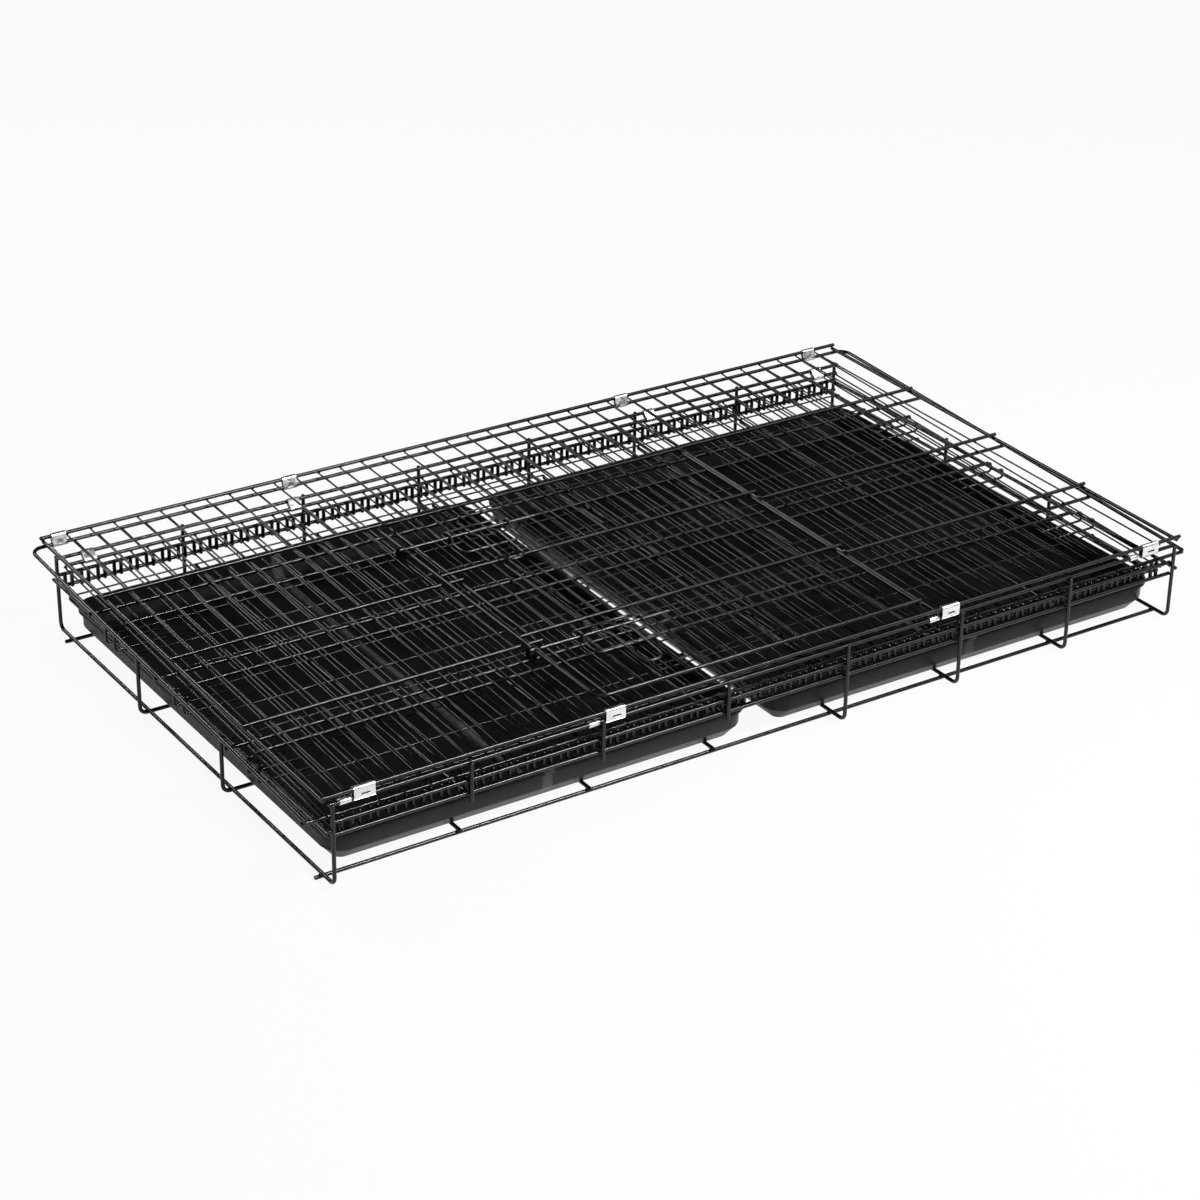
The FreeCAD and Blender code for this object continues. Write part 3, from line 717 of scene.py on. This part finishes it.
def makeBolts(b):
    guards, keepers = [], bmesh.new()
    for name, fromHinge in b["rows"].items():
        y, z, body = lidHinge + fromHinge, b["z"], name + "_bolt"
        wires(name + "BoltRod", body, [body],
              [[lidAt(x, y, z) for x in (b["start"], b["start"] + b["length"])]], b["r"],
              finish=boltLitCopyCoat)
        x0 = b["start"] + b["handleFrom"]
        leg = [(y, z), (y - b["handleRamp"], z + b["handleRise"]),
               (y - b["handleLength"], z + b["tipRise"])]
        loop = [lidAt(x0, *at) for at in leg]
        loop += [lidAt(x0 + b["handleWidth"], *at) for at in reversed(leg)]
        wires(name + "BoltHandle", body, [], [loop], b["handleR"], b["handleBend"],
              finish=boltLitCopyCoat)
        guards.append(guardLoop(b, y))
        radius = b["r"] + b["strapGap"] + b["strapSheet"] / 2
        strapBand(keepers, b["keeperX"], b["strapWidth"],
                  saddle(y, z, lid["z"] - b["strapFoot"], radius, b["strapSteps"]),
                  b["strapSheet"])
    corner, tight = b["guardBend"], [b["archBend"]] * 4
    wires("boltGuards", "side_door", ["bolt_guards"], guards, b["guardR"],
          corner, *tight, corner, corner, *tight, corner, finish=boltLitCopyCoat)
    sheetPiece("boltKeepers", keepers, coat, "lid", ["bolt_keepers"])


makeBolts(bolt)
print("bolts done")


# hinge clips: a strip rolled round two wires, with a lanced tongue in its face
clipLook = dict(bore=2.45, sheet=1.2, tongue=(0.36, 0.72), tongueRise=0.5, tongueCurve=0.8,
                slot=1.7, seam=0.8, rows=10, cols=12, backRows=4, arcSteps=10, edge=0.15,
                edgeSteps=1, edgeSharp=60, sharp=45)
clipSets = [
    dict(name="frontHingeClips", node="front_hinge_clips", body="base", low=(-346.45, 104.0),
         high=(-346.45, 114.5), width=26.0, xs=(-560.0, -240.0, 240.0, 560.0), face=-1),
    dict(name="topHingeClips", node="top_hinge_clips", body="lid", low=(365.55, 114.697),
         high=(369.48, 124.497), width=19.2, xs=(-588.0, -268.0, 244.0, 564.0), face=-1),
    dict(name="rearHingeClips", node="rear_hinge_clips", body="base", low=(338.0, 96.5),
         high=(346.45, 104.0), width=16.0, xs=(-561.0, -275.0, 275.0, 561.0), face=1),
]


def clipPath(low, high, way, out, look):      # up the face, over, down the back and under
    mid, n, back = look["bore"] + look["sheet"] / 2, look["rows"], look["backRows"]
    turns = [math.pi * k / look["arcSteps"] for k in range(1, look["arcSteps"] + 1)]
    arc = lambda at, a, b: [at + (a * math.cos(t) + b * math.sin(t)) * mid for t in turns]
    path = [low.lerp(high, i / n) + out * mid for i in range(n + 1)]
    path += arc(high, out, way)
    path += [high.lerp(low, i / back) - out * mid for i in range(1, back + 1)]
    under = arc(low, -out, -way)
    return path + under[:-1] + [under[-1] - way * look["seam"]]


def clipShape(c, look):
    low, high = Vector(c["low"]), Vector(c["high"])
    way = (high - low).normalized()
    out = Vector((-way.y, way.x)) if -way.y * c["face"] > 0 else Vector((way.y, -way.x))
    path, cols, bm = clipPath(low, high, way, out, look), look["cols"], bmesh.new()
    grid = [[bm.verts.new((c["width"] * (j / cols - 0.5), p.x, p.y)) for j in range(cols + 1)]
            for p in path]
    faces = [[bm.faces.new((a[j], a[j + 1], b[j + 1], b[j])) for j in range(cols)]
             for a, b in zip(grid, grid[1:])]
    j0, j1 = (round(share * cols) for share in look["tongue"])
    tip = look["rows"] // 2
    cut = [bm.edges.get((grid[tip][j], grid[tip][j + 1])) for j in range(j0, j1)]
    cut += [bm.edges.get((grid[i][j], grid[i + 1][j])) for j in (j0, j1) for i in range(tip)]
    bmesh.ops.split_edges(bm, edges=cut)
    tongue = {v for i in range(tip) for j in range(j0, j1) for v in faces[i][j].verts}
    for v in tongue:
        up = (Vector((v.co.y, v.co.z)) - path[0]).dot(way) / (path[tip] - path[0]).length
        share = max(0.0, up)
        lift = out * look["tongueRise"] * share ** look["tongueCurve"]
        lift -= way * look["slot"] * share          # leaves a slot above the tongue
        v.co += Vector((0, lift.x, lift.y))
    for v in bm.verts:
        v.co *= mm
    obj = meshObject(c["name"] + "Shape", bm)
    thick = obj.modifiers.new("sheet", "SOLIDIFY")
    thick.thickness, thick.offset = look["sheet"] * mm, 0.0
    softEdge(obj, look["edge"], look["edgeSteps"], look["edgeSharp"])
    return plainMesh(obj, c["name"] + "Shape", look["sharp"])


def makeClips(sets, look):
    for c in sets:
        shape = clipShape(c, look)
        mesh = bpy.data.meshes.new(c["name"] + "Points")
        mesh.from_pydata([(x * mm, 0, 0) for x in c["xs"]], [], [])
        clips = grown(c["name"], mesh, clipTree, {"Clip": shape, "Finish": zinc})
        bpy.data.objects.remove(shape)
        settle(clips, c["body"], [c["node"]])


makeClips(clipSets, clipLook)

strips = dict(xs=(-583.0, -268.0, 216.0, 535.0), width=14.0, sheet=1.2, bore=2.45, steps=22,
              turn=340.0, turnFrom=-80.0)


def makeStrips(p):            # short strips rolled round the top rail beside the front clips
    bm, mid = bmesh.new(), p["bore"] + p["sheet"] / 2
    turns = [math.radians(p["turn"] * i / p["steps"] + p["turnFrom"])
             for i in range(p["steps"] + 1)]
    ring = [(mid * math.cos(t) - base["topRailY"], base["topRailZ"] + mid * math.sin(t))
            for t in turns]
    for x in p["xs"]:
        strapBand(bm, x, p["width"], ring, p["sheet"])
    sheetPiece("railStrips", bm, zinc, "base", [])


makeStrips(strips)
print("clips done")


# trays
tray = dict(
    y=330.0, z=(9.4, 51.4), lip=5.0, lipHeight=6.0, wall=3.0, corner=31.0, chamfer=16.0, step=2.2,
    ribWidth=18.0, ribTop=4.0, ribHeight=5.0, ribSoft=0.35, ribSteps=18, cornerSteps=5,
    sideSteps=8, nearSteps=6, farSteps=16, sharp=40.0,
    rim=(("floor", 1.2, "floor", 0.5), ("inner", -0.8, "bend", -1.2), ("inner", 0.0, "bend", 0.8),
         ("inner", 0.0, "top", -2.2), ("inner", 0.5, "top", -0.8), ("inner", 1.7, "top", -0.1),
         ("inner", 2.6, "top", 0.0), ("lip", -1.8, "top", 0.0), ("lip", -0.6, "top", -0.4),
         ("lip", 0.0, "top", -1.6), ("lip", 0.0, "lipFoot", 0.5), ("lip", -0.5, "lipFoot", 0.0),
         ("outer", 0.8, "lipFoot", 0.0), ("outer", 0.0, "lipFoot", -0.8),
         ("outer", 0.0, "step", 2.0), ("outer", -0.6, "step", 0.6), ("stepped", 0.4, "step", 0.0),
         ("stepped", 0.0, "step", -0.6), ("foot", 1.0, "under", 0.4)))


def traySection(t):           # rim from the floor's edge, over the lip and down to the underside
    z0, z1 = t["z"]
    w, c = t["wall"], t["chamfer"]
    outs = dict(floor=0.0, inner=c, outer=c + w, lip=c + w + t["lip"], stepped=c + w - t["step"],
                foot=w)
    heights = dict(floor=z0 + w, bend=z0 + w + c, top=z1, lipFoot=z1 - t["lipHeight"],
                   step=z0 + c, under=z0)
    return [(outs[a] + out, heights[b] + up) for a, out, b, up in t["rim"]]


def trayShape(t, span):
    z0 = t["z"][0]
    inset = t["lip"] + t["wall"] + t["chamfer"]
    x0, x1, y1 = span[0] + inset, span[1] - inset, t["y"] - inset
    r, k = t["corner"] - inset, t["cornerSteps"]
    mid, half = (x0 + x1) / 2, t["ribWidth"] / 2

    def stations(*stops):       # (place, spaces to the next), each place once
        places = [stops[0][0]]
        for (a, spaces), (b, _) in zip(stops, stops[1:]):
            places += spread(a, b, spaces)[1:]
        return places

    xs = stations((x0, k), (x0 + r, t["sideSteps"]), (mid - half, t["ribSteps"]),
                  (mid + half, t["sideSteps"]), (x1 - r, k), (x1, 0))
    ys = stations((-y1, k), (r - y1, t["nearSteps"]), (2 * r - y1, t["farSteps"]),
                  (y1 - 2 * r, t["nearSteps"]), (y1 - r, k), (y1, 0))

    def place(x, y):            # square corners become round ones; gives the point and the way out
        cx, cy = min(max(x, x0 + r), x1 - r), min(max(y, r - y1), y1 - r)
        a, b = (x - cx) / r, (y - cy) / r
        if a and b:
            a, b = a * math.sqrt(1 - b * b / 2), b * math.sqrt(1 - a * a / 2)
        return Vector((cx + a * r, cy + b * r)), Vector((a, b))

    def eased(share):
        return share * share * (3 - 2 * share)

    def ridge(x, y):            # flat top, sloping sides, run out at both ends
        across = min(1.0, max(0.0, (half - abs(x - mid)) / (half - t["ribTop"] / 2)))
        across = eased(across) * t["ribSoft"] + across * (1 - t["ribSoft"])
        along = min(1.0, max(0.0, (y1 - r / 3 - abs(y)) / r))
        return t["ribHeight"] * across * eased(along)

    bm = bmesh.new()
    nx, ny = len(xs), len(ys)
    top = [[bm.verts.new((*place(x, y)[0], z0 + t["wall"] + ridge(x, y))) for y in ys] for x in xs]
    under = [[bm.verts.new((*place(x, y)[0], z0)) for y in ys] for x in xs]
    for g in (top, under):
        for a, b in zip(g, g[1:]):
            for j in range(ny - 1):
                bm.faces.new((a[j], b[j], b[j + 1], a[j + 1]))
    edge = [(i, 0) for i in range(nx)] + [(nx - 1, j) for j in range(1, ny)]
    edge += [(i, ny - 1) for i in range(nx - 2, -1, -1)] + [(0, j) for j in range(ny - 2, 0, -1)]
    rings = [[top[i][j] for i, j in edge]]
    for off, z in traySection(t):
        around = (place(xs[i], ys[j]) for i, j in edge)
        rings.append([bm.verts.new((*(at + way * off), z)) for at, way in around])
    rings.append([under[i][j] for i, j in edge])
    for a, b in zip(rings, rings[1:]):
        joinRings(bm, a, b)
    for v in bm.verts:
        v.co *= mm
    bmesh.ops.recalc_face_normals(bm, faces=bm.faces)
    return bm


def makeTrays(t):
    for side in ("right", "left"):
        bm = trayShape(t, trays[side]["span"])
        obj = meshObject(side + "Tray", bm, plastics[side])
        smooth(obj.data, t["sharp"])
        settle(obj, trays[side]["body"], [side + "_tray"])


makeTrays(tray)
print("trays done")


# floor, light and camera
stage = dict(
    floorSize=30.0, floorColour=(0.7, 0.7, 0.7, 1), floorRough=0.9, floorGlow=0.93,
    floorMirror=0.4, skyLight=0.1, ceiling=0.02, ceilingFrom=(0.0, 0.12), lampAim=(0, 0, 0.1),
    lamps={"over": dict(power=90.0, size=(1.15, 0.2), at=(0.95, -1.9, 2.3)),
           "side": dict(power=14.0, size=(1.4, 0.8), at=(1.9, -0.9, 2.2)),
           "back": dict(power=20.0, size=(0.25, 1.2), at=(-0.75, 1.85, 1.75)),
           "fill": dict(power=10.0, size=(1.3, 1.3), at=(-1.9, -2.3, 1.6))})
lens = dict(azimuth=-33.8, elevation=26.9, roll=1.0, distance=3.834, aim=(0.0197, 0.0744, 0.0),
            focal=90.0, sensor=36.0, clipEnd=100.0)
white = (1, 1, 1, 1)


def seenDirectly(tree):      # camera rays; glossy and transmission rays
    path = addNode(tree, "ShaderNodeLightPath").outputs
    shine = calc(tree, "MAXIMUM", path["Is Glossy Ray"], path["Is Transmission Ray"])
    return path["Is Camera Ray"], shine


def choose(tree, share, a, b):
    return addNode(tree, "ShaderNodeMix", {0: share, 2: a, 3: b}).outputs[0]


def makeWorld(s):             # white at the horizon, a darker ceiling in reflections
    world = bpy.data.worlds.new("studio")
    scene.world = world
    world.use_nodes = True
    tree = world.node_tree
    back = tree.nodes["Background"]
    back.inputs["Color"].default_value = white
    way = addNode(tree, "ShaderNodeTexCoord").outputs["Generated"]
    height = addNode(tree, "ShaderNodeSeparateXYZ", {0: way}).outputs["Z"]
    direct, shine = seenDirectly(tree)
    overhead = ramp(tree, height, s["ceilingFrom"], (1.0, s["ceiling"]))
    mirrored = choose(tree, shine, s["skyLight"], overhead)
    tree.links.new(choose(tree, direct, mirrored, 1.0), back.inputs["Strength"])


def makeFloor(s):
    bpy.ops.mesh.primitive_plane_add(size=s["floorSize"])
    floor = bpy.context.object
    floor.name = "studioFloor"
    mat = bpy.data.materials.new("paleFloor")
    mat.use_nodes = True
    tree = mat.node_tree
    shader = tree.nodes["Principled BSDF"]
    shader.inputs["Base Color"].default_value = s["floorColour"]
    shader.inputs["Roughness"].default_value = s["floorRough"]
    glow = addNode(tree, "ShaderNodeEmission", {"Color": white, "Strength": 1.0})
    direct, shine = seenDirectly(tree)
    share = choose(tree, direct, times(tree, shine, s["floorMirror"]), s["floorGlow"])
    mix = addNode(tree, "ShaderNodeMixShader", {0: share, 1: shader.outputs[0], 2: glow.outputs[0]})
    tree.links.new(mix.outputs[0], tree.nodes["Material Output"].inputs["Surface"])
    floor.data.materials.append(mat)


def makeLamps(s):
    for name, look in s["lamps"].items():
        lamp = bpy.data.lights.new(name + "Light", "AREA")
        lamp.shape, lamp.energy = "RECTANGLE", look["power"]
        lamp.size, lamp.size_y = look["size"]
        obj = addObject(name + "Light", lamp)
        obj.location = look["at"]
        way = Vector(s["lampAim"]) - obj.location
        obj.rotation_euler = way.to_track_quat("-Z", "Y").to_euler()


def makeCamera(c):
    a, e, roll = (math.radians(c[k]) for k in ("azimuth", "elevation", "roll"))
    back = Vector((math.sin(a) * math.cos(e), -math.cos(a) * math.cos(e), math.sin(e)))
    right = Vector((math.cos(a), math.sin(a), 0))
    up = back.cross(right)
    rolledRight = right * math.cos(roll) + up * math.sin(roll)
    rolledUp = up * math.cos(roll) - right * math.sin(roll)
    data = bpy.data.cameras.new("photoCamera")
    data.lens, data.sensor_width, data.clip_end = c["focal"], c["sensor"], c["clipEnd"]
    cam = addObject("photoCamera", data)
    turn = Matrix((rolledRight, rolledUp, back)).transposed().to_4x4()
    cam.matrix_world = Matrix.Translation(Vector(c["aim"]) + back * c["distance"]) @ turn
    scene.camera = cam


makeWorld(stage)
makeFloor(stage)
makeLamps(stage)
makeCamera(lens)
scene.view_settings.view_transform = "Standard"

print("stage set")
